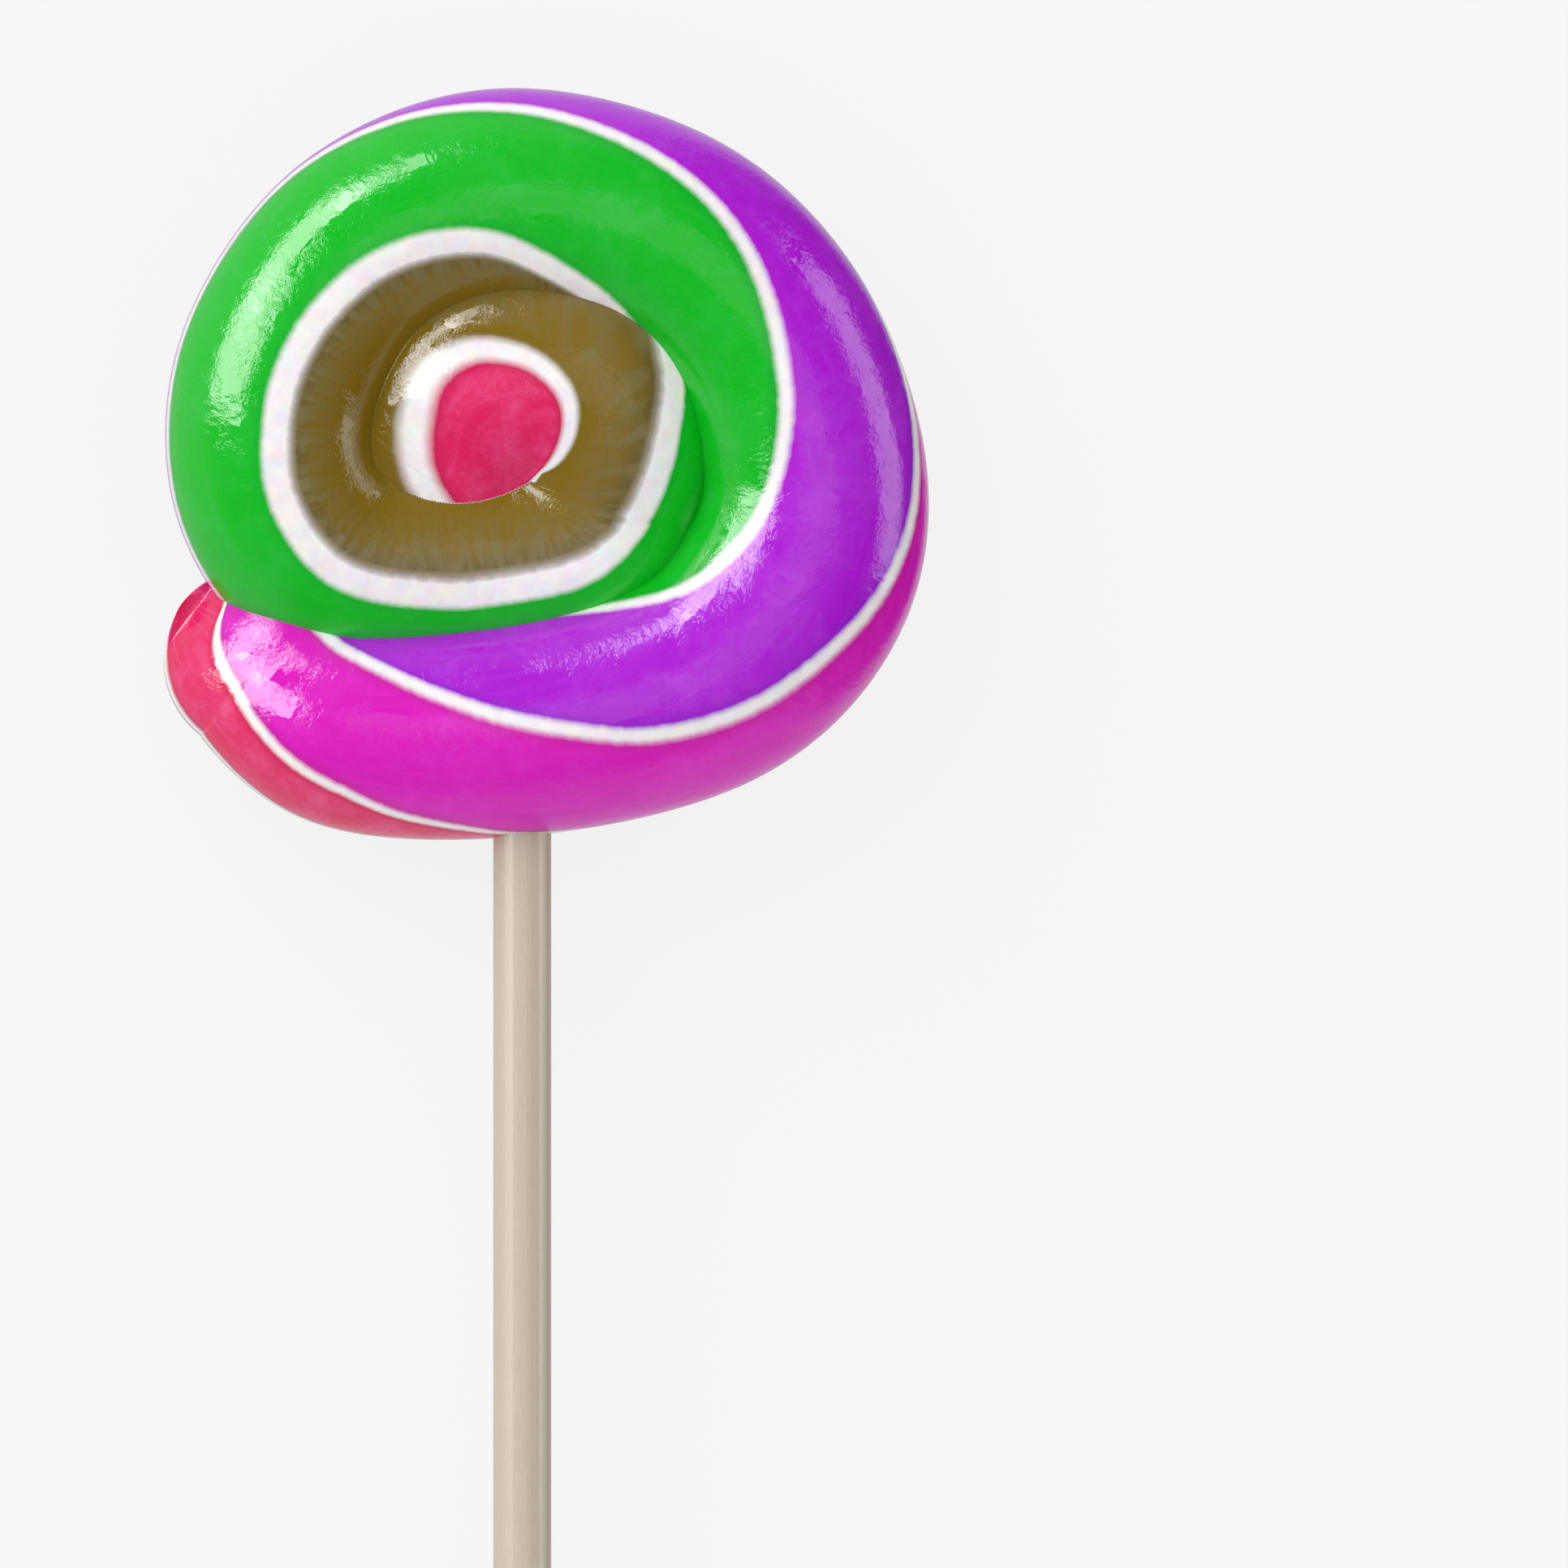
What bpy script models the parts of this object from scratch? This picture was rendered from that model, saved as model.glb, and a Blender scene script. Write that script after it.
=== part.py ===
# Lollipop: a rolled candy rope wound twice round into a disc, with a round stick set in its rim.
# It lies on its back: the shown side faces +Z, the stick runs along -Y, and the coil rests at Z = 0.
# Lengths are in millimetres here and are turned into metres where shapes are made.
# Shapes are made with the coil's centre over the origin, and moved to the middle of the whole at the end.

import math

import bmesh
import bpy

MM = 0.001

# Candy rope: centre line seen from the front, from the outer end to the inner end.
# Each station is x, y, height over the first turn's middle, half the rope's width, half its thickness.
ROPE_STATIONS = [
    (-22.3, -15.0, 0.0, 7.4, 6.8),
    (-15.1, -19.9, 0.0, 8.3, 8.0),
    (-1.2, -19.9, 0.0, 8.7, 8.7),
    (12.1, -16.2, 0.0, 9.1, 8.8),
    (18.9, -9.2, 0.0, 9.4, 8.8),
    (20.6, -0.4, 0.0, 9.0, 8.8),
    (16.8, 10.4, 0.0, 8.8, 8.8),
    (8.8, 17.8, 0.0, 8.8, 8.8),
    (-3.2, 20.6, 0.0, 8.8, 8.8),
    (-13.5, 16.8, 0.0, 8.7, 8.8),
    (-19.8, 8.1, 0.0, 8.7, 8.8),
    (-20.5, -0.7, -0.3, 8.7, 8.5),
    (-16.1, -6.8, -1.3, 9.0, 8.2),
    (-7.8, -7.6, -2.3, 9.1, 8.0),
    (1.8, -6.2, -2.6, 9.2, 8.0),
    (4.5, -1.5, -2.2, 9.3, 8.0),
    (4.9, 2.9, -1.0, 9.4, 8.0),
    (2.6, 6.6, -0.4, 9.7, 8.0),
    (-4.4, 6.4, -0.8, 10.1, 8.0),
    (-7.4, 2.4, -2.3, 10.3, 8.0),
]
ROPE_STEP = 1.7
ROPE_SIDES = 44
END_RINGS = 6
BALL_SEGMENTS = 36

# Flat spot that the coil rests on
REST_DEPTH = 1.0
CUTTER_SIZE = 90.0

# Where the rope bends tighter than it is wide, its inner side stops short of the bend's centre
BEND_SHARE = 0.9
# Core that fills the eye of the coil
CORE_AT = (-1.0, 1.4, -2.0)
CORE_RADIUS = 3.2
CORE_HALF_HEIGHT = 6.6

# Stick and its socket
STICK_DIAMETER = 4.5
STICK_X = -1.8
STICK_LENGTH = 150.0
STICK_TOP_Y = -3.0
STICK_EDGE = 0.35
STICK_SIDES = 40
SOCKET_GAP = 0.3
CREASE_ANGLE = 40.0

CANDY_COLOR = (0.62, 0.05, 0.45, 1.0)
STICK_COLOR = (0.80, 0.76, 0.66, 1.0)


def smooth_line(rows, spacing):
    """Rows every spacing mm along a smooth line through the stations, with all their values."""
    out = []
    last = len(rows) - 1
    for i in range(last):
        before, start, end = rows[max(i - 1, 0)], rows[i], rows[i + 1]
        after = rows[min(i + 2, last)]
        count = max(2, round(math.dist(start[:2], end[:2]) / spacing))
        for k in range(count):
            t = k / count
            out.append([
                (2 * t**3 - 3 * t**2 + 1) * b + 0.5 * (t**3 - 2 * t**2 + t) * (c - a)
                + (3 * t**2 - 2 * t**3) * c + 0.5 * (t**3 - t**2) * (d - b)
                for a, b, c, d in zip(before, start, end, after)])
    out.append(list(rows[-1]))
    return out


def bend_radius(rows, i):
    """Radius of the circle through a row and its neighbours, two steps away on each side."""
    i = min(max(i, 2), len(rows) - 3)
    a, b, c = rows[i - 2], rows[i], rows[i + 2]
    turn = (b[0] - a[0]) * (c[1] - b[1]) - (b[1] - a[1]) * (c[0] - b[0])
    sides = math.dist(a[:2], b[:2]) * math.dist(b[:2], c[:2]) * math.dist(a[:2], c[:2])
    return sides / max(2.0 * turn, 0.001 * sides)


def rope_rings(rows):
    """Ring centres, sideways directions and half axes along the rope, with a rounded end at both ends."""
    rings = []
    last = len(rows) - 1
    for i, (x, y, z, half_width, half_height) in enumerate(rows):
        dx = rows[min(i + 1, last)][0] - rows[max(i - 1, 0)][0]
        dy = rows[min(i + 1, last)][1] - rows[max(i - 1, 0)][1]
        size = math.hypot(dx, dy)
        inner = BEND_SHARE * bend_radius(rows, i)
        ring = (x, y, z, dy / size, -dx / size, half_width, half_height, inner)
        if i not in (0, last):
            rings.append(ring)
            continue
        way = -1 if i == 0 else 1
        cap = []
        for k in range(END_RINGS):
            angle = 0.5 * math.pi * k / (END_RINGS - 0.5)
            reach = way * half_width * math.sin(angle)
            shrink = math.cos(angle)
            cap.append((x + dx / size * reach, y + dy / size * reach, z, ring[3], ring[4],
                        half_width * shrink, half_height * shrink, inner))
        rings += reversed(cap) if i == 0 else cap
    return rings


def loft_rope(name, rings):
    """Closed rope through oval rings. The coil's inner turn is wider than thick, as no round tube is."""
    bm = bmesh.new()
    loops = []
    for x, y, z, side_x, side_y, half_width, half_height, inner in rings:
        loop = []
        for k in range(ROPE_SIDES):
            angle = 2.0 * math.pi * k / ROPE_SIDES
            out = max(half_width * math.cos(angle), -inner)
            loop.append(bm.verts.new(((x + side_x * out) * MM, (y + side_y * out) * MM,
                                      (z + half_height * math.sin(angle)) * MM)))
        loops.append(loop)
    for a, b in zip(loops, loops[1:]):
        for k in range(ROPE_SIDES):
            n = (k + 1) % ROPE_SIDES
            bm.faces.new((a[k], a[n], b[n], b[k]))
    bm.faces.new(loops[0])
    bm.faces.new(loops[-1])
    bmesh.ops.recalc_face_normals(bm, faces=bm.faces)
    mesh = bpy.data.meshes.new(name)
    bm.to_mesh(mesh)
    bm.free()
    obj = bpy.data.objects.new(name, mesh)
    bpy.context.scene.collection.objects.link(obj)
    return obj


def move_to(obj, collection):
    for old in list(obj.users_collection):
        old.objects.unlink(obj)
    collection.objects.link(obj)


def material(name, color, roughness):
    mat = bpy.data.materials.new(name)
    mat.use_nodes = True
    shader = mat.node_tree.nodes["Principled BSDF"]
    shader.inputs["Base Color"].default_value = color
    shader.inputs["Roughness"].default_value = roughness
    return mat


def apply_boolean(obj, other, operation, use_self=False):
    mod = obj.modifiers.new(other.name, "BOOLEAN")
    mod.operation = operation
    mod.solver = "EXACT"
    mod.use_self = use_self
    mod.object = other
    graph = bpy.context.evaluated_depsgraph_get()
    mesh = bpy.data.meshes.new_from_object(obj.evaluated_get(graph))
    obj.modifiers.clear()
    obj.data = mesh


def oval_ball(name, x, y, z, radius, half_height):
    bpy.ops.mesh.primitive_uv_sphere_add(segments=BALL_SEGMENTS, ring_count=BALL_SEGMENTS // 2, radius=1.0,
                                         location=(x * MM, y * MM, z * MM))
    obj = bpy.context.object
    obj.name = name
    obj.scale = (radius * MM, radius * MM, half_height * MM)
    bpy.ops.object.transform_apply(location=False, rotation=False, scale=True)
    return obj


def rod(name, radius, length, x, y_low, z):
    """Round rod along Y, from y_low up."""
    bpy.ops.mesh.primitive_cylinder_add(
        vertices=STICK_SIDES, radius=radius * MM, depth=length * MM,
        location=(x * MM, (y_low + 0.5 * length) * MM, z * MM), rotation=(0.5 * math.pi, 0.0, 0.0))
    obj = bpy.context.object
    obj.name = name
    return obj


def finish(obj, mat):
    """One material and smooth shading with the creases kept sharp."""
    obj.data.materials.clear()
    obj.data.materials.append(mat)
    obj.data.shade_smooth()
    obj.data.set_sharp_from_angle(angle=math.radians(CREASE_ANGLE))


for old in list(bpy.data.objects):
    bpy.data.objects.remove(old)

lollipop = bpy.data.collections.new("lollipop")
cutters = bpy.data.collections.new("cutters")
bpy.context.scene.collection.children.link(lollipop)
bpy.context.scene.collection.children.link(cutters)
cutters.hide_render = True

# Candy head: the rope runs into itself and is joined into a single solid
rows = smooth_line(ROPE_STATIONS, ROPE_STEP)
lift = -REST_DEPTH - min(row[2] - row[4] for row in rows)
for row in rows:
    row[2] += lift
head = loft_rope("candy_head", rope_rings(rows))
core = oval_ball("eye_core", CORE_AT[0], CORE_AT[1], CORE_AT[2] + lift, CORE_RADIUS, CORE_HALF_HEIGHT)
apply_boolean(head, core, "UNION", use_self=True)
end = rows[-1]
inner_end = oval_ball("inner_end", end[0], end[1], end[2], end[3], end[4])
apply_boolean(head, inner_end, "UNION")

# Resting flat and stick socket
bpy.ops.mesh.primitive_cube_add(size=CUTTER_SIZE * MM, location=(0.0, 0.0, -0.5 * CUTTER_SIZE * MM))
floor_cutter = bpy.context.object
floor_cutter.name = "rest_cutter"
apply_boolean(head, floor_cutter, "DIFFERENCE")
stick_low = STICK_TOP_Y - STICK_LENGTH
stick_radius = 0.5 * STICK_DIAMETER
socket = rod("socket_cutter", stick_radius + SOCKET_GAP, STICK_LENGTH + SOCKET_GAP, STICK_X, stick_low, lift)
apply_boolean(head, socket, "DIFFERENCE")
finish(head, material("candy", CANDY_COLOR, 0.15))

# Stick: plain round rod with slightly rounded end edges
stick = rod("stick", stick_radius, STICK_LENGTH, STICK_X, stick_low, lift)
edge = stick.modifiers.new("end_edges", "BEVEL")
edge.width = STICK_EDGE * MM
edge.segments = 3
edge.limit_method = "ANGLE"
edge.angle_limit = math.radians(CREASE_ANGLE)
finish(stick, material("paper", STICK_COLOR, 0.75))

# Origin below the middle of the whole lollipop
head_top_y = max(vertex.co.y for vertex in head.data.vertices)
middle_y = 0.5 * (head_top_y + stick_low * MM)
for obj in (head, stick, core, inner_end, floor_cutter, socket):
    obj.location.y -= middle_y

for obj in (head, stick):
    move_to(obj, lollipop)
for obj in (core, inner_end, floor_cutter, socket):
    obj.display_type = "WIRE"
    obj.hide_render = True
    move_to(obj, cutters)
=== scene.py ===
import math

import bpy
import numpy as np
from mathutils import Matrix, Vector


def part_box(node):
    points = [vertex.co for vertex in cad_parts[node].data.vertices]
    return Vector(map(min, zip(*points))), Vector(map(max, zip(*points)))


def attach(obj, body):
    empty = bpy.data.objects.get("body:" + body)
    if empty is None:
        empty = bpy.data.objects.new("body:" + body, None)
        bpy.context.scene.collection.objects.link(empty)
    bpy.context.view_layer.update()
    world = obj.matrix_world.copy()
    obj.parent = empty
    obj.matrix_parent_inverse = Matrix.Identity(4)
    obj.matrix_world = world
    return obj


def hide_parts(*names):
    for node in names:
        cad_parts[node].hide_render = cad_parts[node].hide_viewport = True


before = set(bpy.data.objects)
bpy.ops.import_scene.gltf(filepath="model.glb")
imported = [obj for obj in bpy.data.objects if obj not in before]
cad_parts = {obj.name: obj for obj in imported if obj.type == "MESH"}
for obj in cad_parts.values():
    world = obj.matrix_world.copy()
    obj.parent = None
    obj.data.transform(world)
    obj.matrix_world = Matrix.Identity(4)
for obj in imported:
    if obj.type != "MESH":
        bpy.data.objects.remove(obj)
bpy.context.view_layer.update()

mm = 0.001  # in metres
scene = bpy.context.scene
scene.view_settings.view_transform = "Standard"  # colours come out as they are mixed


def fromHex(code):
    # sRGB hex to the linear colour that shaders work in
    parts = [int(code[i:i + 2], 16) / 255 for i in (1, 3, 5)]
    return [p / 12.92 if p <= 0.04045 else ((p + 0.055) / 1.055) ** 2.4 for p in parts] + [1.0]


def addNode(tree, kind, settings=None, sockets=None):
    # one node with its settings; a socket gets a value or a link
    node = tree.nodes.new("ShaderNode" + kind)
    for name, value in (settings or {}).items():
        setattr(node, name, value)
    for name, value in (sockets or {}).items():
        if isinstance(value, bpy.types.NodeSocket):
            tree.links.new(value, node.inputs[name])
        else:
            node.inputs[name].default_value = value
    return node


def setStops(ramp, stops, interpolation="LINEAR"):
    # stops are (place, linear colour), in rising order
    ramp.interpolation = interpolation
    while len(ramp.elements) > 1:
        ramp.elements.remove(ramp.elements[-1])
    ramp.elements[0].position, ramp.elements[0].color = stops[0]
    for place, colour in stops[1:]:
        ramp.elements.new(place).color = colour


def newMaterial(name):
    material = bpy.data.materials.new(name)
    material.use_nodes = True
    material.node_tree.nodes.clear()
    return material, material.node_tree


# The rope of candy, in mm. The stick gives its place: the coil's centre is 153 mm above the stick's low end,
# and its middle is as high as the stick's axis.
stickLow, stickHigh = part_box("stick")
candyRope = {
    "centreY": stickLow.y / mm + 153.0,
    "middleHeight": 0.5 * (stickLow.z + stickHigh.z) / mm,
    # x, y, height over the first turn's middle, half width, half thickness, from the outer end inward
    "route": [
        (-22.3, -15.0, 0.0, 7.4, 6.8), (-15.1, -19.9, 0.0, 8.3, 8.0), (-1.2, -19.9, 0.0, 8.7, 8.7),
        (12.1, -16.2, 0.0, 9.1, 8.8), (18.9, -9.2, 0.0, 9.4, 8.8), (20.6, -0.4, 0.0, 9.0, 8.8),
        (16.8, 10.4, 0.0, 8.8, 8.8), (8.8, 17.8, 0.0, 8.8, 8.8), (-3.2, 20.6, 0.0, 8.8, 8.8),
        (-13.5, 16.8, 0.0, 8.7, 8.8), (-19.8, 8.1, 0.0, 8.7, 8.8), (-20.5, -0.7, -0.3, 8.7, 8.5),
        (-16.1, -6.8, -1.3, 9.0, 8.2), (-7.8, -7.6, -2.3, 9.1, 8.0), (1.8, -6.2, -2.6, 9.2, 8.0),
        (4.5, -1.5, -2.2, 9.3, 8.0), (4.9, 2.9, -1.0, 9.4, 8.0), (2.6, 6.6, -0.4, 9.7, 8.0),
        (-4.4, 6.4, -0.8, 10.1, 8.0), (-7.4, 2.4, -2.3, 10.3, 8.0)],
    "step": 0.45,       # between rings
    "sides": 216,       # around a ring
    "capRings": 26,     # in each rounded end
    "thinnest": 0.3,    # radius that the paint is laid out for at the very ends
    "inset": 0.035,     # keeps this fine rope inside the coarser one of the CAD
    # the outer end slopes down to its tip: how steeply, from where, and the length the slope starts over
    "tipSlope": 0.42, "slopeFrom": 8.0, "slopeOver": 8.0,
    "tipShare": 0.6,    # most of the half thickness that the slope may take
}

# Where the five colours meet, as the angle around the rope (0 outward, 90 towards the shown side) against
# the distance along it in mm. The rope is twisted, so every line turns by about 2 degrees a mm.
paintLines = {
    "redMagenta": [(-7.4, 170), (-5.1, 129), (-4.1, 94), (-2.5, 77), (1.4, 65), (5, 58.5), (9, 51.5),
                   (12.5, 39.5), (17, 27), (21.4, 12), (25, 4), (30, -9), (35, -20), (41, -29), (46, -36),
                   (53, -45), (61, -54), (71, -73), (78, -84), (85, -93), (92, -105), (100, -115),
                   (108, -122), (120, -135), (140, -152), (160, -166), (185, -172)],
    "magentaPurple": [(-7.4, 180), (0, 136), (9, 127), (15, 111), (20, 97), (26, 83), (31, 72), (37, 65),
                      (43, 57), (48, 45), (52, 33), (56, 22), (61, 10), (70, 0), (78, -11), (86, -25),
                      (93.6, -45), (102, -57), (109, -58), (116, -56.5), (125, -58), (137, -61), (148, -60),
                      (152, -53), (158, -49), (164, -53), (168, -57), (172, -68), (176, -80), (185, -125)],
    "purpleGreen": [(-7.4, 225), (0, 208), (10, 190), (20, 170), (32, 147), (46.5, 123.5), (54.5, 110),
                    (61, 95), (66, 85), (74, 65), (81, 50), (87, 40), (91, 34), (96.5, 24), (103.5, 14),
                    (110, 12.5), (120, 12.5), (135, 10), (150, 8), (185, 5)],
    "greenOlive": [(-7.4, 280), (0, 299), (6, 289), (10.6, 276), (17, 264), (23.5, 249), (29.5, 236),
                   (50, 198), (70, 160), (84, 130), (94, 109), (108, 94), (114, 91.5), (118, 90.5),
                   (122, 88), (127, 84.5), (133, 77.5), (138, 74.5), (143, 76), (147.4, 76), (149.5, 74),
                   (152, 69.5), (154, 69.5), (156.5, 68), (158, 62), (159.3, 55.5), (160.3, 48),
                   (160.8, 44), (161.1, 38.5), (161.5, 34), (162, 31), (163, 28), (164.2, 24), (168, 16),
                   (175, 12), (185, 9)],
    "oliveRed": [(-7.4, 376), (0, 373), (5, 369), (10, 360), (14, 351), (20, 334), (25, 320), (31, 305),
                 (37, 289), (43, 267), (50, 251), (58, 237), (75, 208), (90, 193), (110, 187), (185, 185)],
}
paintPlan = {
    # where the lines fall on the unrolled paint, in degrees, and half the white line's width in mm
    "order": ["redMagenta", "magentaPurple", "purpleGreen", "greenOlive", "oliveRed"],
    "place": [0.0, 72.0, 149.0, 234.0, 298.0],
    "halfWidth": [0.56, 0.56, 0.56, 1.05, 1.05],
    # where a line is narrower or wider than that, against the distance along the rope
    "share": {"redMagenta": [(25, 0.68), (50, 1.0)],
              "greenOlive": [(146, 1.0), (152, 0.92), (157, 1.05), (160, 1.1), (163, 1.0)],
              "oliveRed": [(5, 0.48), (20, 1.0)]},
    "typicalRadius": 8.8,   # of the rope, in mm
    "gapShare": 0.3,        # most of the gap to the next line that half a white line may take
}


def alongRoute(rows, spacing):
    # smooth line through the stations, with all five values, and the distance along it
    points = []
    last = len(rows) - 1
    for i in range(last):
        before, start, end = rows[max(i - 1, 0)], rows[i], rows[i + 1]
        after = rows[min(i + 2, last)]
        count = max(2, round(math.dist(start[:2], end[:2]) / spacing))
        for k in range(count):
            t = k / count
            points.append([
                (2 * t**3 - 3 * t**2 + 1) * b + 0.5 * (t**3 - 2 * t**2 + t) * (c - a)
                + (3 * t**2 - 2 * t**3) * c + 0.5 * (t**3 - t**2) * (d - b)
                for a, b, c, d in zip(before, start, end, after)])
    points.append(list(rows[-1]))
    distance = [0.0]
    for p, q in zip(points, points[1:]):
        distance.append(distance[-1] + math.dist(p[:2], q[:2]))
    return points, distance


def onCurve(keys, at):
    # smooth value of a list of (distance, value) at a distance
    if at <= keys[0][0]:
        return keys[0][1]
    if at >= keys[-1][0]:
        return keys[-1][1]
    i = max(n for n in range(len(keys) - 1) if keys[n][0] <= at)

    def slope(n):
        low, high = keys[max(n - 1, 0)], keys[min(n + 1, len(keys) - 1)]
        return (high[1] - low[1]) / (high[0] - low[0])

    gap = keys[i + 1][0] - keys[i][0]
    t = (at - keys[i][0]) / gap
    return ((2 * t**3 - 3 * t**2 + 1) * keys[i][1] + (t**3 - 2 * t**2 + t) * gap * slope(i)
            + (3 * t**2 - 2 * t**3) * keys[i + 1][1] + (t**3 - t**2) * gap * slope(i + 1))


def paintMap(distance, radius):
    # pairs (angle on the rope, angle on the unrolled paint) at the edges of each white line
    real = [onCurve(paintLines[name], distance) for name in paintPlan["order"]]
    real.append(real[0] + 360.0)
    place = paintPlan["place"] + [360.0]
    pairs = []
    for k in range(len(place) - 1):
        gap = min(real[k + 1] - real[k], real[k] - real[k - 1] if k else real[-1] - real[-2])
        share = onCurve(paintPlan["share"].get(paintPlan["order"][k], [(0, 1.0)]), distance)
        half = min(math.degrees(share * paintPlan["halfWidth"][k] / radius), paintPlan["gapShare"] * gap)
        planned = math.degrees(paintPlan["halfWidth"][k] / paintPlan["typicalRadius"])
        pairs.append((real[k] - half, place[k] - planned))
        pairs.append((real[k] + half, place[k] + planned))
    pairs.append((pairs[0][0] + 360.0, pairs[0][1] + 360.0))
    return pairs


def toPaint(angle, pairs):
    # angle on the unrolled paint for an angle on the rope
    turned = pairs[0][0] + (angle - pairs[0][0]) % 360.0
    for (a, p), (b, q) in zip(pairs, pairs[1:]):
        if turned <= b:
            return p + (turned - a) / (b - a) * (q - p)
    return pairs[-1][1]


routePoints, routeDistance = alongRoute(
    [(x, y, z, halfWidth - candyRope["inset"], halfHeight - candyRope["inset"])
     for x, y, z, halfWidth, halfHeight in candyRope["route"]], candyRope["step"])


def tipDrop(distance):
    # how much lower the shown side of the outer end lies, in mm
    into = candyRope["slopeFrom"] - distance
    over = candyRope["slopeOver"]
    return candyRope["tipSlope"] * (max(into, 0.0)**2 / (2 * over) if into < over else into - 0.5 * over)


def directionAt(points, behind, ahead):
    # direction along the rope in plan between two rows, with the length and the climb between them
    last = len(points) - 1
    ahead, behind = points[min(ahead, last)], points[max(behind, 0)]
    dx, dy = ahead[0] - behind[0], ahead[1] - behind[1]
    size = math.hypot(dx, dy)
    return dx / size, dy / size, size, ahead[2] - behind[2]


def ropeRings():
    # each ring: centre, direction along, half width, half thickness, distance along, lean with the slope
    points, distance = routePoints, routeDistance
    last = len(points) - 1
    rings = []
    for i, (x, y, z, halfWidth, halfHeight) in enumerate(points):
        dx, dy, size, climb = directionAt(points, i - 1, i + 1)
        lean = math.atan(climb / size * halfWidth / halfHeight)
        if i not in (0, last):
            drop = 0.5 * tipDrop(distance[i])
            rings.append((x, y, z - drop, dx, dy, halfWidth, halfHeight - drop, distance[i], lean))
            continue
        way = -1 if i == 0 else 1
        cap = []
        for k in range(candyRope["capRings"]):
            angle = 0.5 * math.pi * k / (candyRope["capRings"] - 0.5)
            reach = way * halfWidth * math.sin(angle)
            shrink = math.cos(angle)
            drop = min(0.5 * tipDrop(distance[i] + reach), candyRope["tipShare"] * halfHeight * shrink)
            cap.append((x + dx * reach * math.cos(lean), y + dy * reach * math.cos(lean),
                        z + reach * math.sin(lean) * halfHeight / halfWidth - drop, dx, dy,
                        halfWidth * shrink, halfHeight * shrink - drop, distance[i] + reach, lean))
        rings += reversed(cap) if i == 0 else cap
    return rings


def smoothStep(low, high, value):
    # 0 below low, 1 above high, and a smooth rise between them
    t = np.clip((value - low) / (high - low), 0.0, 1.0)
    return t * t * (3 - 2 * t)


# Where the rope curls up tighter than it is wide, its turns melt into one another. That eye gets a skin of
# its own, as high as the highest turn under it, on the shown side and on the back. Lengths are in mm.
eye = {
    "centre": (-5.2, 1.2), "reach": 10.6,
    "seam": 1.0,            # width of the skin's rim, where it passes through the rope
    "lift": 0.01,           # of the skin over the rope
    "sink": 0.03,           # of its rim, from there
    "exactFrom": 4.0,       # in from the rim, where the skin starts to follow the turns exactly
    "clearFrom": 1.5,       # in from the rim, where the rope starts to keep under the skin
    "clearFull": 4.0,       # in from the rim, where it keeps under it by the clearance
    "clearance": 2.0,
    "restGap": 0.05,        # between skin and rope on the flat that the candy rests on
    "rings": 100, "spokes": 420,
    "cell": 0.15, "margin": 1.5,                  # of the height map
    "turns": [(0, 118), (98, 163), (157, 200)],   # stretches of rope that meet in a sharp crease
    "melt": 0.8,                                  # blur inside a stretch
    "redCentre": (-4.2, 3.5),
    # direction from there in degrees, distance to the white line's middle, half its width
    "redEdge": [(-46, 5.55, 0.12), (-35, 5.8, 0.3), (-21, 6.0, 0.45), (1, 6.2, 0.55), (17, 6.2, 0.63),
                (45, 5.8, 0.7), (79, 5.5, 0.78), (112, 5.7, 0.92), (143, 5.85, 1.1), (176, 5.85, 1.22),
                (199, 6.3, 1.2), (222, 7.1, 1.1), (238, 7.7, 0.95), (255, 8.3, 0.8), (270, 7.9, 0.7),
                (290, 7.2, 0.5), (298, 6.2, 0.35), (304, 5.75, 0.2), (314, 5.55, 0.12)],
    "redFrom": (152.5, 155.5),                    # distance along the rope where the red end starts
    "redSize": 9.0,                               # more than its radius
    "ringReach": 3.0,                             # half widths outside the ring where its paint starts
    "ringPaint": (-24.0, 36.0),                   # degrees from the line's place, outside and inside
}
route = np.array(routePoints)


def discHeight(x, y, way, row):
    # height of one row's oval over plan points
    px, py, z, halfWidth, halfHeight = route[row].T
    inside = 1.0 - ((x - px)**2 + (y - py)**2) / halfWidth**2
    return way * z + halfHeight * np.sqrt(np.maximum(inside, 0.0)) + np.minimum(inside, 0.0)


def turnHeights(x, y, way, low, high):
    # top of one stretch of rope over plan points, and the row of the route, with its fraction, that gives it
    stretch = [i for i, distance in enumerate(routeDistance) if low <= distance <= high]
    best = np.full(x.shape, -99.0)  # lower than any of them
    row = np.zeros(x.shape, int)
    for i in stretch:
        height = discHeight(x, y, way, i)
        higher = height > best
        best[higher] = height[higher]
        row[higher] = i
    # the true top lies between rows
    inner = np.clip(row, stretch[0] + 1, stretch[-1] - 1)
    before, after = discHeight(x, y, way, inner - 1), discHeight(x, y, way, inner + 1)
    bend = before - 2 * best + after
    shift = np.where((inner == row) & (bend < -1e-9), 0.5 * (before - after) / np.minimum(bend, -1e-9), 0.0)
    shift = np.clip(shift, -0.5, 0.5)
    return best - 0.25 * (before - after) * shift, row + shift


def blurred(grid, radius):
    # Gaussian blur of a height map, radius in cells
    reach = int(3 * radius) + 1
    weights = np.exp(-0.5 * (np.arange(-reach, reach + 1) / radius)**2)
    weights /= weights.sum()
    padded = np.pad(grid, reach, mode="edge")
    rows = np.apply_along_axis(lambda line: np.convolve(line, weights, "valid"), 1, padded)
    return np.apply_along_axis(lambda line: np.convolve(line, weights, "valid"), 0, rows)


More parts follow.
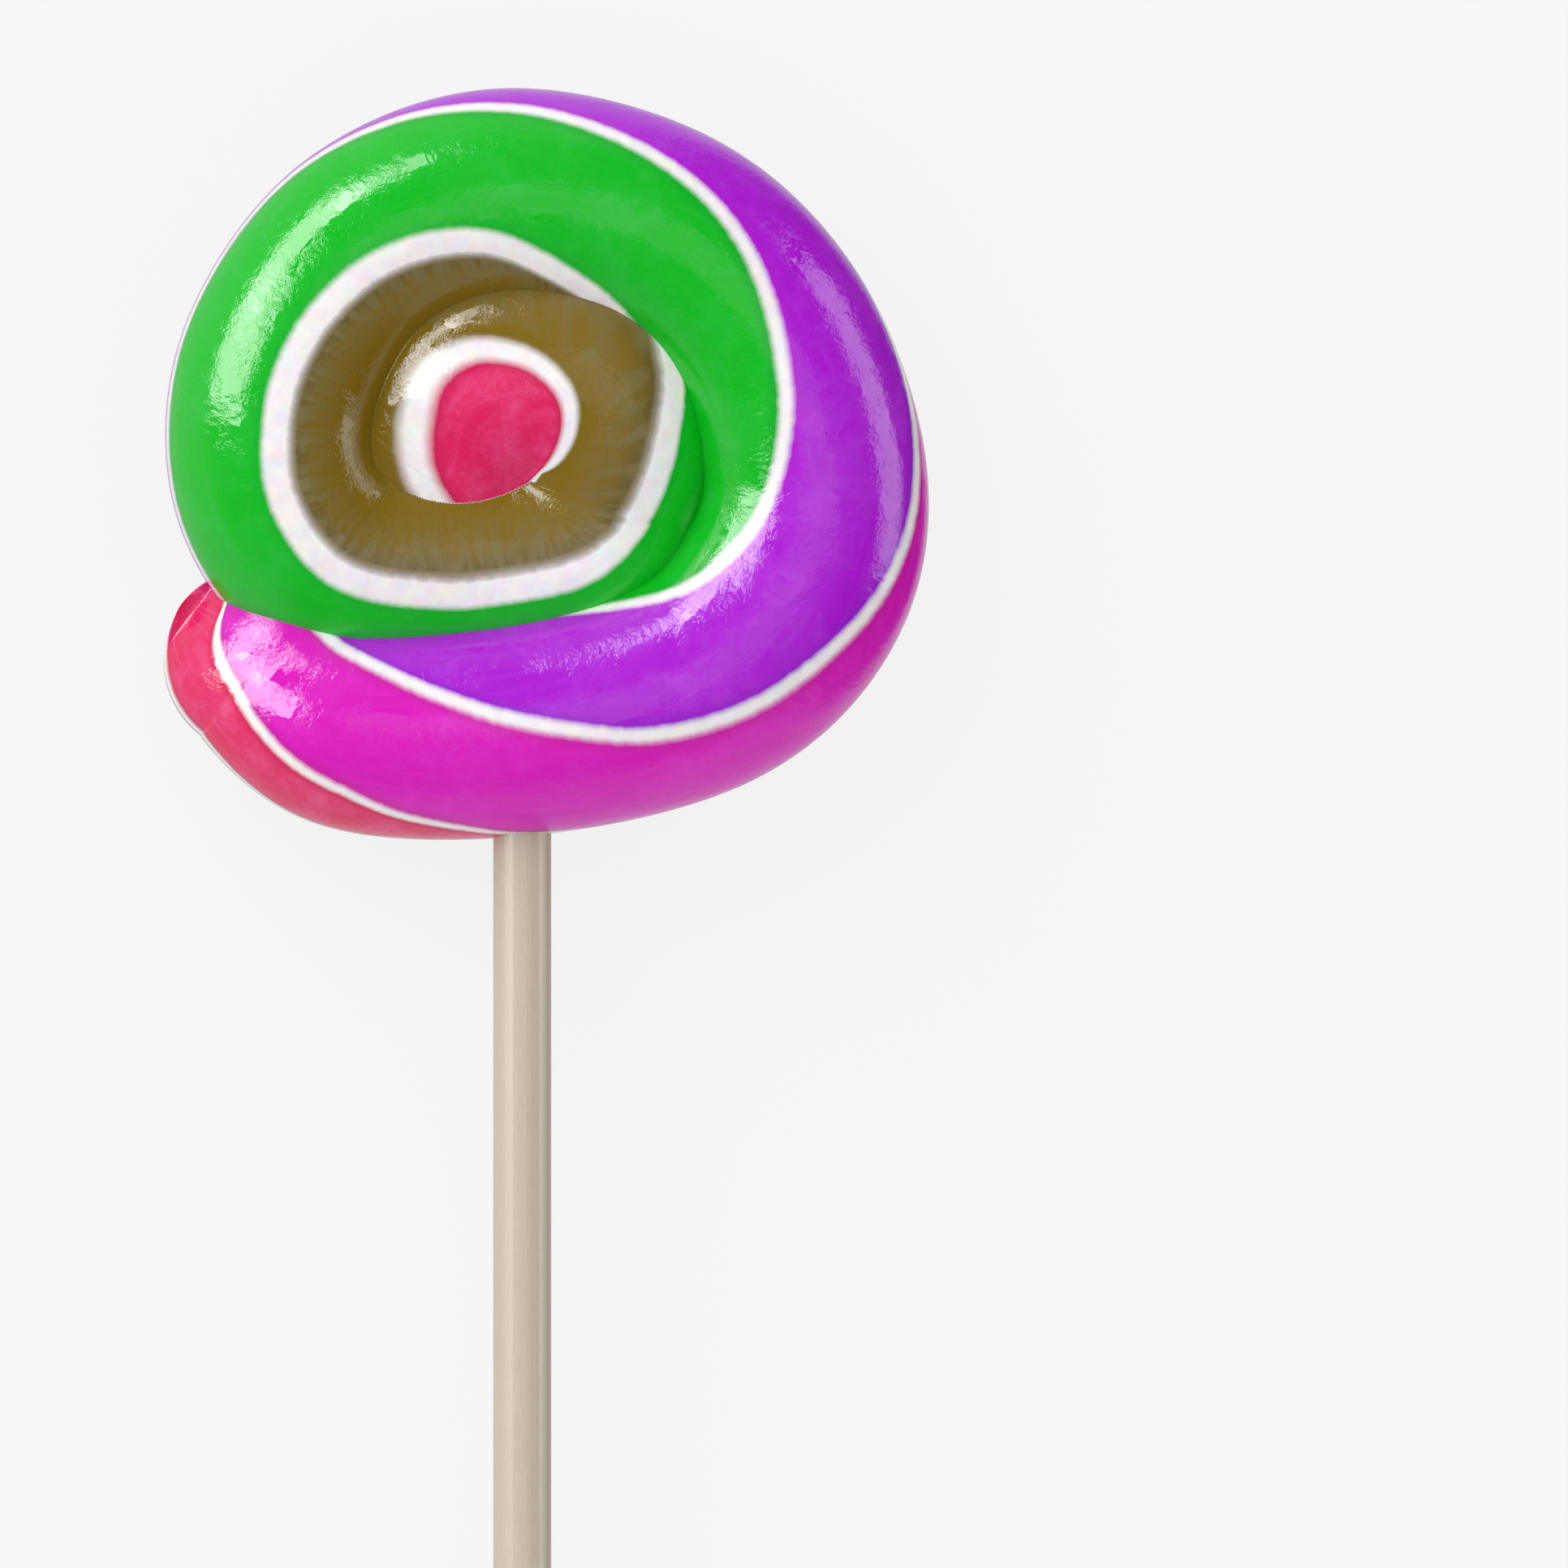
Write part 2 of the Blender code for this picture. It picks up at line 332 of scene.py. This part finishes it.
def sampled(grid, start, cell, x, y):
    # bilinear value of a height map at plan points
    u = (x - start[0]) / cell
    v = (y - start[1]) / cell
    i = np.clip(u.astype(int), 0, grid.shape[1] - 2)
    j = np.clip(v.astype(int), 0, grid.shape[0] - 2)
    u, v = u - i, v - j
    return ((1 - u) * (1 - v) * grid[j, i] + u * (1 - v) * grid[j, i + 1]
            + (1 - u) * v * grid[j + 1, i] + u * v * grid[j + 1, i + 1])


def eyeSkin(way):
    # plan points, heights and rows of the route for one side's skin; way is 1 for the shown side
    spokes, rings = eye["spokes"], eye["rings"]
    radius = np.repeat(np.arange(1, rings + 1) * eye["reach"] / rings, spokes)
    turn = np.tile(np.arange(spokes) * 2 * np.pi / spokes, rings)
    x = np.append(eye["centre"][0] + radius * np.cos(turn), eye["centre"][0])
    y = np.append(eye["centre"][1] + radius * np.sin(turn), eye["centre"][1])
    radius = np.append(radius, 0.0)
    edge = eye["reach"] + eye["margin"]
    line = np.arange(-edge, edge, eye["cell"])
    gridX, gridY = np.meshgrid(eye["centre"][0] + line, eye["centre"][1] + line)
    start = (gridX[0, 0], gridY[0, 0])
    soft, sharp, rows = [], [], []
    for low, high in eye["turns"]:
        heights = turnHeights(gridX, gridY, way, low, high)[0]
        soft.append(sampled(blurred(heights, eye["melt"] / eye["cell"]), start, eye["cell"], x, y))
        exact, row = turnHeights(x, y, way, low, high)
        sharp.append(exact)
        rows.append(row)
    blend = smoothStep(eye["reach"] - eye["exactFrom"], eye["reach"] - eye["seam"], radius)
    top = np.max(soft, 0) * (1 - blend) + np.max(sharp, 0) * blend
    # its rim sinks into the rope
    top += eye["lift"] - eye["sink"] * smoothStep(eye["reach"] - eye["seam"], eye["reach"], radius)
    return x, y, way * top, np.choose(np.argmax(soft, 0), rows)


def eyePaint(x, y, row, way):
    # paint, distance along the rope and angle round it at a plan point over a row of the route
    last = len(routePoints) - 1
    low = min(int(row), last - 1)
    share = row - low
    px, py, z, halfWidth, halfHeight = route[low] * (1 - share) + route[low + 1] * share
    dx, dy = directionAt(routePoints, low - 1, low + 2)[:2]
    along = (x - px) * dx + (y - py) * dy
    aside = (x - px) * dy - (y - py) * dx
    distance = routeDistance[low] * (1 - share) + routeDistance[low + 1] * share
    shrink = 1.0
    if row >= last and along > 0:
        # the rounded inner end, kept from shrinking to nothing
        shrink = math.sqrt(max(1.0 - (along / halfWidth)**2, 0.01))
        distance += along
    angle = way * math.degrees(math.acos(max(-1.0, min(1.0, aside / (halfWidth * shrink)))))
    paint = toPaint(angle, paintMap(distance, 0.5 * (halfWidth + halfHeight)))
    if way == 1:
        # the red end of the roll, as a disc in a white ring
        cx, cy = eye["redCentre"]
        turn = math.degrees(math.atan2(y - cy, x - cx))
        turn += 360.0 if turn < eye["redEdge"][0][0] else 0.0
        reach = onCurve([(t, r) for t, r, w in eye["redEdge"]], turn)
        half = onCurve([(t, w) for t, r, w in eye["redEdge"]], turn)
        inside = reach - math.hypot(x - cx, y - cy)
        inside -= eye["redSize"] * (1.0 - float(smoothStep(*eye["redFrom"], distance)))
        if inside > -eye["ringReach"] * half:
            planned = math.degrees(paintPlan["halfWidth"][-1] / paintPlan["typicalRadius"])
            outside, within = eye["ringPaint"]
            paint = paintPlan["place"][-1] + max(outside, min(within, inside / half * planned))
    return paint, distance, angle % 360.0


def restHeight(away, isSkin):
    # lowest a point may lie over the floor, in mm; rope and skin pass each other here too, so that they
    # never lie in one plane
    share = float(smoothStep(eye["reach"] - eye["seam"], eye["reach"], away))
    return eye["restGap"] * (share if isSkin else 1.0 - share)


def layPaint(mesh, paint, turns, distances):
    # two UV maps: the unrolled paint, and the rope's skin in mm
    paintLayer = mesh.uv_layers.new(name="ropePaint")
    skinLayer = mesh.uv_layers.new(name="ropeSkin")
    around = math.radians(1.0) * paintPlan["typicalRadius"]  # mm to a degree
    for face in mesh.polygons:
        corners = list(face.loop_indices)
        vertices = [mesh.loops[c].vertex_index for c in corners]
        facePaint = [paint[v] for v in vertices]
        faceTurns = [turns[v] for v in vertices]
        if max(facePaint) - min(facePaint) > 180.0:
            facePaint = [p + 360.0 if p < 180.0 else p for p in facePaint]
        if max(faceTurns) - min(faceTurns) > 180.0:
            faceTurns = [t + 360.0 if t < 180.0 else t for t in faceTurns]
        for corner, vertex, p, t in zip(corners, vertices, facePaint, faceTurns):
            paintLayer.data[corner].uv = (p / 360.0, distances[vertex])
            skinLayer.data[corner].uv = (t * around, distances[vertex])


def buildRope(name):
    # the rope runs through itself where its turns are fused, so the creases come out sharp
    rings = ropeRings()
    sides = candyRope["sides"]
    angles = [360.0 * k / sides for k in range(sides)]
    points, paint, turns, distances, faces = [], [], [], [], []
    for x, y, z, dx, dy, halfWidth, halfHeight, distance, lean in rings:
        pairs = paintMap(distance, max(0.5 * (halfWidth + halfHeight), candyRope["thinnest"]))
        for angle in angles:
            out = halfWidth * math.cos(math.radians(angle))
            back = halfWidth * math.sin(math.radians(angle)) * math.sin(lean)
            rise = halfHeight * math.sin(math.radians(angle)) * math.cos(lean)
            px, py = x + dy * out - dx * back, y - dx * out - dy * back
            # under the eye's skin the rope keeps clear of it
            away = math.hypot(px - eye["centre"][0], py - eye["centre"][1])
            clear = smoothStep(eye["reach"] - eye["clearFrom"], eye["reach"] - eye["clearFull"], away)
            rise -= clear * min(abs(rise), eye["clearance"]) * (1 if rise > 0 else -1)
            points.append((px, py, max(z + rise, restHeight(away, False) - candyRope["middleHeight"])))
            paint.append(toPaint(angle, pairs))
            turns.append(angle)
            distances.append(distance)
    for i in range(len(rings) - 1):
        for k in range(sides):
            n = (k + 1) % sides
            faces.append((i * sides + k, i * sides + n, (i + 1) * sides + n, (i + 1) * sides + k))
    lastRing = (len(rings) - 1) * sides
    faces.append(tuple(reversed(range(sides))))
    faces.append(tuple(range(lastRing, lastRing + sides)))

    for way in (1, -1):
        first = len(points)
        for x, y, z, row in zip(*[column.tolist() for column in eyeSkin(way)]):
            painted, distance, angle = eyePaint(x, y, row, way)
            away = math.hypot(x - eye["centre"][0], y - eye["centre"][1])
            points.append((x, y, max(z, restHeight(away, True) - candyRope["middleHeight"])))
            paint.append(painted)
            turns.append(angle)
            distances.append(distance)
        spokes, middle = eye["spokes"], len(points) - 1
        for k in range(spokes):
            n = (k + 1) % spokes
            skin = [(middle, first + k, first + n)]
            for r in range(eye["rings"] - 1):
                a, b = first + r * spokes, first + (r + 1) * spokes
                skin.append((a + k, b + k, b + n, a + n))
            faces += skin if way == 1 else [tuple(reversed(face)) for face in skin]

    placed = [(x * mm, (y + candyRope["centreY"]) * mm, (z + candyRope["middleHeight"]) * mm)
              for x, y, z in points]
    mesh = bpy.data.meshes.new(name)
    mesh.from_pydata(placed, [], faces)
    layPaint(mesh, paint, turns, distances)
    mesh.shade_smooth()
    rope = bpy.data.objects.new(name, mesh)
    scene.collection.objects.link(rope)
    return rope


# Boiled sugar, coloured, pulled and rolled while hot, cooled in air: a hard clear gloss (IOR 1.54) over
# cloudy opaque colour. Pulling leaves soft streaks and wrinkles that run round the rope, so a highlight has
# torn edges.
candyLook = {
    # main colour and the cloud in it
    "red": ("#e01f60", "#ee5f95"),
    "magenta": ("#db18bc", "#e234cc"),
    "purple": ("#ac1cd2", "#b640de"),
    "green": ("#08b81f", "#2cbc3e"),
    "olive": ("#80660f", "#7c6a26"),
    "greyOlive": "#7d7048",      # olive beside the white line, greyed by air pulled into it
    "greyZone": (243.0, 260.0),  # degrees on the unrolled paint over which it fades out
    "oliveHalf": 0.07,           # turns from the middle of the olive to under the white lines beside it
    # shades on the two sides of each white line
    "shades": [("#d21c58", "#cd1da6"), ("#d020a8", "#9a22cc"), ("#b01fd0", "#12ab2c"),
               ("#12b02c", "#5c4a18"), ("#7a6414", "#cc1f58")],
    "white": "#f6f1f3",
    "lineBlur": [0.26, 0.26, 0.26, 0.26, 0.48],   # mm that the edges of each white line are blurred over
    "smear": 0.005,          # turns that streaks pull a line's edge aside
    "shadeWidth": 0.9,       # mm beside a line
    # ranges of a noise, each with the share that is reached at its end
    "cloudRange": (0.4, 0.75, 0.7),
    "streakRange": (0.45, 0.8, 0.45),
    "airRange": (0.36, 0.62), "airLeast": 0.32,
    "wrinkleRange": (0.4, 0.6), "wrinkleLeast": 0.25,
    "cloudSize": 4.0,        # mm
    "mottleSize": 1.3,       # mm
    "mottleDepth": 0.15,     # tint added to or taken from the white
    "streakSize": 0.7,       # mm between pull streaks, drawn coarse enough to show
    "roundStreak": 0.25,     # slenderness of the streaks round the rope, which smear the lines
    "longStreak": 0.1,       # and of those along it
    "wrinkleSize": 1.3,      # mm between wrinkles
    "wrinkleStretch": 0.35,  # their slenderness
    "wrinkleDepth": 0.065,   # mm
    "waveSize": 5.0,         # mm between the swells that rolling by hand leaves
    "waveDepth": 0.06,       # mm
    "roughness": 0.015,
    "ior": 1.54,
}


def paintStops(colours, line):
    # ramp round the paint: five colours, shaded beside the lines, with the lines between them
    shades = [[fromHex(side) for side in pair] for pair in candyLook["shades"]]
    stops = []
    for k, place in enumerate(paintPlan["place"]):
        half, soft, shade = [math.degrees(size / paintPlan["typicalRadius"]) for size in
                             (paintPlan["halfWidth"][k], candyLook["lineBlur"][k], candyLook["shadeWidth"])]
        before, after = shades[k] if not line else (colours[k], colours[k])
        stops += [(place - half - soft - shade, colours[k]), (place - half - soft, before),
                  (place - half + soft, line or before), (place + half - soft, line or after),
                  (place + half + soft, after),
                  (place + half + soft + shade, colours[(k + 1) % len(colours)])]
    # the first line straddles 0, so its outer edge wraps to the end
    wrapped = [((place % 360.0) / 360.0, colour) for place, colour in stops]
    return sorted(wrapped, key=lambda stop: stop[0])


def makeCandy():
    material, tree = newMaterial("pulledBoiledSugarRolled")
    look = candyLook
    paintUv = addNode(tree, "UVMap", {"uv_map": "ropePaint"})
    skinUv = addNode(tree, "UVMap", {"uv_map": "ropeSkin"})
    place = addNode(tree, "TexCoord")

    # the lines are smeared by streaks that run round the rope
    across = addNode(tree, "Mapping", sockets={
        "Vector": skinUv.outputs[0],
        "Scale": (look["roundStreak"] / look["streakSize"], 1 / look["streakSize"], 1.0)})
    fray = addNode(tree, "TexNoise", sockets={"Vector": across.outputs[0], "Scale": 1.0, "Detail": 4.0})
    parts = addNode(tree, "SeparateXYZ", sockets={0: paintUv.outputs[0]})
    centred = addNode(tree, "Math", {"operation": "SUBTRACT"}, {0: fray.outputs["Fac"], 1: 0.5})
    frayed = addNode(tree, "Math", {"operation": "MULTIPLY_ADD"}, {0: centred.outputs[0], 1: look["smear"],
                                                                   2: parts.outputs[0]})
    wrapped = addNode(tree, "Math", {"operation": "FRACT"}, {0: frayed.outputs[0]})

    names = ["red", "magenta", "purple", "green", "olive"]
    mains, hazes = [[fromHex(look[name][k]) for name in names] for k in range(2)]
    black, full = (0.0, 0.0, 0.0, 1.0), (1.0, 1.0, 1.0, 1.0)
    main = addNode(tree, "ValToRGB", sockets={"Fac": wrapped.outputs[0]})
    setStops(main.color_ramp, paintStops(mains, None))
    cloud = addNode(tree, "ValToRGB", sockets={"Fac": wrapped.outputs[0]})
    setStops(cloud.color_ramp, paintStops(hazes, None))
    line = addNode(tree, "ValToRGB", sockets={"Fac": wrapped.outputs[0]})
    setStops(line.color_ramp, paintStops([black] * 5, full))

    # faint clouds, and streaks that run along the rope
    clouds = addNode(tree, "TexNoise", sockets={"Vector": place.outputs["Object"], "Detail": 6.0,
                                                "Scale": 1 / (look["cloudSize"] * mm), "Roughness": 0.7})
    start, end, most = look["cloudRange"]
    cloudMask = addNode(tree, "MapRange", {"interpolation_type": "SMOOTHSTEP"},
                        {"Value": clouds.outputs["Fac"], "From Min": start, "From Max": end, "To Max": most})
    stretch = addNode(tree, "Mapping", sockets={
        "Vector": skinUv.outputs[0],
        "Scale": (1 / look["streakSize"], look["longStreak"] / look["streakSize"], 1.0)})
    streak = addNode(tree, "TexNoise", sockets={"Vector": stretch.outputs[0], "Scale": 1.0, "Detail": 3.0})
    start, end, most = look["streakRange"]
    streakMask = addNode(tree, "MapRange", {"interpolation_type": "SMOOTHSTEP"},
                         {"Value": streak.outputs["Fac"], "From Min": start, "From Max": end,
                          "To Max": most})
    both = addNode(tree, "Math", {"operation": "MAXIMUM"},
                   {0: cloudMask.outputs[0], 1: streakMask.outputs[0]})
    clouded = addNode(tree, "Mix", {"data_type": "RGBA"}, {0: both.outputs[0], 6: main.outputs[0],
                                                           7: cloud.outputs[0]})
    # streaks of air grey the olive beside the green
    oliveMiddle = 0.5 * sum(paintPlan["place"][-2:]) / 360.0
    onOlive = addNode(tree, "Math", {"operation": "COMPARE"},
                      {0: wrapped.outputs[0], 1: oliveMiddle, 2: look["oliveHalf"]})
    start, end = [degrees / 360.0 for degrees in look["greyZone"]]
    byGreen = addNode(tree, "MapRange", sockets={"Value": wrapped.outputs[0], "From Min": start,
                                                 "From Max": end, "To Min": 1.0, "To Max": 0.0})
    start, end = look["airRange"]
    torn = addNode(tree, "MapRange", {"interpolation_type": "SMOOTHSTEP"},
                   {"Value": fray.outputs["Fac"], "From Min": start, "From Max": end,
                    "To Min": look["airLeast"]})
    airy = addNode(tree, "Math", {"operation": "MULTIPLY"}, {0: torn.outputs[0], 1: byGreen.outputs[0]})
    greyed = addNode(tree, "Math", {"operation": "MULTIPLY"}, {0: onOlive.outputs[0], 1: airy.outputs[0]})
    aired = addNode(tree, "Mix", {"data_type": "RGBA"}, {0: greyed.outputs[0], 6: clouded.outputs[2],
                                                         7: fromHex(look["greyOlive"])})
    # the white sugar is mottled with faint tints of its neighbours
    mottle = addNode(tree, "TexNoise", sockets={"Vector": place.outputs["Object"], "Detail": 2.0,
                                                "Scale": 1 / (look["mottleSize"] * mm)})
    tint = addNode(tree, "VectorMath", {"operation": "MULTIPLY_ADD"},
                   {0: mottle.outputs["Color"], 1: [2 * look["mottleDepth"]] * 3,
                    2: [-look["mottleDepth"]] * 3})
    white = addNode(tree, "VectorMath", {"operation": "ADD"}, {0: tint.outputs[0],
                                                               1: fromHex(look["white"])[:3]})
    painted = addNode(tree, "Mix", {"data_type": "RGBA"}, {0: line.outputs[0], 6: aired.outputs[2],
                                                           7: white.outputs[0]})

    # surface: a slow swell, and fine wrinkles round the rope that come and go
    swell = addNode(tree, "TexNoise", sockets={"Vector": place.outputs["Object"], "Detail": 1.0,
                                               "Scale": 1 / (look["waveSize"] * mm)})
    wrinkleMap = addNode(tree, "Mapping", sockets={
        "Vector": skinUv.outputs[0],
        "Scale": (look["wrinkleStretch"] / look["wrinkleSize"], 1 / look["wrinkleSize"], 1.0)})
    wrinkle = addNode(tree, "TexNoise", sockets={"Vector": wrinkleMap.outputs[0], "Scale": 1.0,
                                                 "Detail": 2.5, "Roughness": 0.5})
    start, end = look["wrinkleRange"]
    patch = addNode(tree, "MapRange", {"interpolation_type": "SMOOTHSTEP"},
                    {"Value": clouds.outputs["Fac"], "From Min": start, "From Max": end,
                     "To Min": look["wrinkleLeast"]})
    height = addNode(tree, "Math", {"operation": "MULTIPLY"},
                     {0: wrinkle.outputs["Fac"], 1: patch.outputs[0]})
    swellBump = addNode(tree, "Bump", sockets={"Height": swell.outputs["Fac"], "Strength": 1.0,
                                               "Distance": look["waveDepth"] * mm})
    wrinkleBump = addNode(tree, "Bump", sockets={"Height": height.outputs[0], "Strength": 1.0,
                                                 "Distance": look["wrinkleDepth"] * mm,
                                                 "Normal": swellBump.outputs[0]})
    shader = addNode(tree, "BsdfPrincipled", sockets={
        "Base Color": painted.outputs[2], "Roughness": look["roughness"], "IOR": look["ior"],
        "Normal": wrinkleBump.outputs[0]})
    addNode(tree, "OutputMaterial", sockets={"Surface": shader.outputs[0]})
    return material


swirl = buildRope("candySwirl")
swirl.data.materials.append(makeCandy())
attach(swirl, "root")
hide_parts("candy_head")
print("candy swirl built:", len(swirl.data.polygons), "faces")


# Kraft paper rolled tight with starch glue and calendered smooth: matt to satin, warm grey-white, with faint
# fibres along its length and the edges of the roll showing as fine rings at its cut ends.
stickLook = {
    "paper": "#cbbea9", "fibre": "#bcad97", "ring": "#9c8b74",
    "fibreWidth": 0.09,      # mm, a paper fibre bundle, drawn coarse enough to show
    "fibreLength": 1.2,      # mm
    "fibreRange": (0.35, 0.75, 0.55),   # of the noise, and the share of fibre colour at its end
    "layer": 0.16,           # mm, thickness of a paper layer
    "endRange": (0.85, 0.95, 0.6),      # of how squarely a face looks along the stick, and the rings' share
    "roughness": 0.3,
    "ior": 1.6,
    "grainDepth": 0.003,     # mm
}


def makePaper():
    material, tree = newMaterial("rolledPaperCalendered")
    look = stickLook
    place = addNode(tree, "TexCoord")
    axis = (0.5 * (stickLow.x + stickHigh.x), 0.0, 0.5 * (stickLow.z + stickHigh.z))
    centred = addNode(tree, "VectorMath", {"operation": "SUBTRACT"}, {0: place.outputs["Object"], 1: axis})
    fibreMap = addNode(tree, "Mapping", sockets={
        "Vector": centred.outputs[0],
        "Scale": [1 / (look[size] * mm) for size in ("fibreWidth", "fibreLength", "fibreWidth")]})
    fibre = addNode(tree, "TexNoise", sockets={"Vector": fibreMap.outputs[0], "Scale": 1.0, "Detail": 3.0})
    start, end, most = look["fibreRange"]
    fibreMask = addNode(tree, "MapRange", sockets={"Value": fibre.outputs["Fac"], "From Min": start,
                                                   "From Max": end, "To Max": most})
    side = addNode(tree, "Mix", {"data_type": "RGBA"}, {0: fibreMask.outputs[0], 6: fromHex(look["paper"]),
                                                        7: fromHex(look["fibre"])})
    # rings on the cut ends only
    flat = addNode(tree, "VectorMath", {"operation": "MULTIPLY"},
                   {0: centred.outputs[0], 1: (1.0, 0.0, 1.0)})
    reach = addNode(tree, "VectorMath", {"operation": "LENGTH"}, {0: flat.outputs[0]})
    wave = addNode(tree, "Math", {"operation": "MULTIPLY"},
                   {0: reach.outputs["Value"], 1: 2 * math.pi / (look["layer"] * mm)})
    ring = addNode(tree, "Math", {"operation": "SINE"}, {0: wave.outputs[0]})
    normal = addNode(tree, "SeparateXYZ", sockets={0: place.outputs["Normal"]})
    facing = addNode(tree, "Math", {"operation": "ABSOLUTE"}, {0: normal.outputs[1]})
    start, end, most = look["endRange"]
    onEnd = addNode(tree, "MapRange", sockets={"Value": facing.outputs[0], "From Min": start,
                                               "From Max": end, "To Max": most})
    ringMask = addNode(tree, "MapRange", sockets={"Value": ring.outputs[0], "From Min": 0.0,
                                                  "From Max": 1.0})
    endMask = addNode(tree, "Math", {"operation": "MULTIPLY"}, {0: ringMask.outputs[0], 1: onEnd.outputs[0]})
    paper = addNode(tree, "Mix", {"data_type": "RGBA"}, {0: endMask.outputs[0], 6: side.outputs[2],
                                                         7: fromHex(look["ring"])})
    grain = addNode(tree, "Bump", sockets={"Height": fibre.outputs["Fac"],
                                           "Distance": look["grainDepth"] * mm})
    shader = addNode(tree, "BsdfPrincipled", sockets={
        "Base Color": paper.outputs[2], "Roughness": look["roughness"], "IOR": look["ior"],
        "Normal": grain.outputs[0]})
    addNode(tree, "OutputMaterial", sockets={"Surface": shader.outputs[0]})
    return material


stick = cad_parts["stick"]
paper = makePaper()
for holder in stick.material_slots:
    holder.material = paper
print("stick papered")


studio = {
    "floorSize": 8.0, "floorGlow": 0.92, "floorColour": "#f4f4f4", "floorShare": 0.10,
    # tent round the candy: radiance overhead, what the rim adds, and the heights (sine) it adds that between
    "tentTop": 0.22, "tentRim": 0.55, "rimHeights": (0.6, 0.05),
    # dark gap in the tent: turn from +X, its edges as cosines from there, and the light it lets through
    "gapTurn": 12.0, "gapEdges": (0.4, 0.65), "gapLight": 0.05,
    # name: (degrees off the camera's axis, turn from +X, distance, width, height, radiance, what it lights)
    "panels": {
        "keyLow": (56.0, 163.0, 0.80, 0.37, 0.58, 7.8, "shine"),
        "keyHigh": (64.0, 138.0, 0.80, 0.40, 0.34, 7.8, "shine"),
        "keyEdge": (60.0, 118.0, 0.80, 0.26, 0.22, 5.0, "shine"),
        "sideBox": (84.0, 12.0, 0.90, 0.95, 0.42, 2.5, "shine"),
        "crown": (8.0, 30.0, 1.20, 0.70, 0.70, 0.55, "shine"),
        "softKey": (55.0, 128.0, 1.10, 1.00, 1.00, 1.95, "colour"),
        "scrim": (0.0, 0.0, 1.00, 4.00, 4.00, 0.76, "colour"),
    },
    "lens": 800.0, "sensor": 36.0, "clipEnd": 50.0,
    "seenWidth": 121.6,     # mm across the picture
    "aim": (18.5, -24.6),   # from the coil's centre, in mm
}


def buildFloor():
    half = 0.5 * studio["floorSize"]
    mesh = bpy.data.meshes.new("studioFloor")
    mesh.from_pydata([(-half, -half, 0.0), (half, -half, 0.0), (half, half, 0.0), (-half, half, 0.0)], [],
                     [(0, 1, 2, 3)])
    floor = bpy.data.objects.new("studioFloor", mesh)
    scene.collection.objects.link(floor)
    # matt white acrylic lit from below, which keeps shadows faint
    material, tree = newMaterial("lightTableAcrylic")
    shader = addNode(tree, "BsdfPrincipled", sockets={
        "Base Color": [c * studio["floorShare"] for c in fromHex(studio["floorColour"])[:3]] + [1.0],
        "Roughness": 0.9, "Specular IOR Level": 0.0,
        "Emission Color": fromHex(studio["floorColour"]), "Emission Strength": studio["floorGlow"]})
    addNode(tree, "OutputMaterial", sockets={"Surface": shader.outputs[0]})
    mesh.materials.append(material)
    floor.visible_glossy = False  # the gloss shows the tent, also towards the floor


def buildWorld():
    world = bpy.data.worlds.new("studioTent")
    world.use_nodes = True
    tree = world.node_tree
    tree.nodes.clear()
    place = addNode(tree, "TexCoord")
    parts = addNode(tree, "SeparateXYZ", sockets={0: place.outputs["Generated"]})
    start, end = studio["rimHeights"]
    rim = addNode(tree, "MapRange", {"interpolation_type": "SMOOTHSTEP"},
                  {"Value": parts.outputs[2], "From Min": start, "From Max": end,
                   "To Min": studio["tentTop"], "To Max": studio["tentTop"] + studio["tentRim"]})
    turn = math.radians(studio["gapTurn"])
    toGap = addNode(tree, "VectorMath", {"operation": "DOT_PRODUCT"},
                    {0: place.outputs["Generated"], 1: (math.cos(turn), math.sin(turn), 0.0)})
    start, end = studio["gapEdges"]
    gap = addNode(tree, "MapRange", {"interpolation_type": "SMOOTHSTEP"},
                  {"Value": toGap.outputs["Value"], "From Min": start, "From Max": end, "To Min": 1.0,
                   "To Max": studio["gapLight"]})
    strength = addNode(tree, "Math", {"operation": "MULTIPLY"}, {0: rim.outputs[0], 1: gap.outputs[0]})
    glow = addNode(tree, "Background", sockets={"Strength": strength.outputs[0]})
    addNode(tree, "OutputWorld", sockets={"Surface": glow.outputs[0]})
    scene.world = world


def buildPanels():
    # panels for shine are seen only in reflections, the others only light the colours
    target = Vector((0.0, candyRope["centreY"] * mm, candyRope["middleHeight"] * mm))
    for name, (off, turn, distance, width, height, radiance, lights) in studio["panels"].items():
        off, turn = math.radians(off), math.radians(turn)
        way = Vector((math.sin(off) * math.cos(turn), math.sin(off) * math.sin(turn), math.cos(off)))
        light = bpy.data.lights.new(name, "AREA")
        light.shape = "RECTANGLE"
        light.size, light.size_y = width, height
        light.energy = radiance * math.pi * width * height  # radiance to watts
        panel = bpy.data.objects.new(name, light)
        panel.location = target + way * distance
        panel.rotation_euler = (-way).to_track_quat("-Z", "Y").to_euler()
        panel.visible_camera = False
        panel.visible_diffuse = lights == "colour"
        panel.visible_glossy = lights == "shine"
        scene.collection.objects.link(panel)


def buildCamera():
    camera = bpy.data.cameras.new("camera")
    camera.lens, camera.sensor_width = studio["lens"], studio["sensor"]
    camera.clip_end = studio["clipEnd"]
    view = bpy.data.objects.new("camera", camera)
    distance = studio["seenWidth"] * mm * studio["lens"] / studio["sensor"]
    view.location = (studio["aim"][0] * mm, (candyRope["centreY"] + studio["aim"][1]) * mm,
                     candyRope["middleHeight"] * mm + distance)
    scene.collection.objects.link(view)
    scene.camera = view


buildFloor()
buildWorld()
buildPanels()
buildCamera()
print("studio ready")
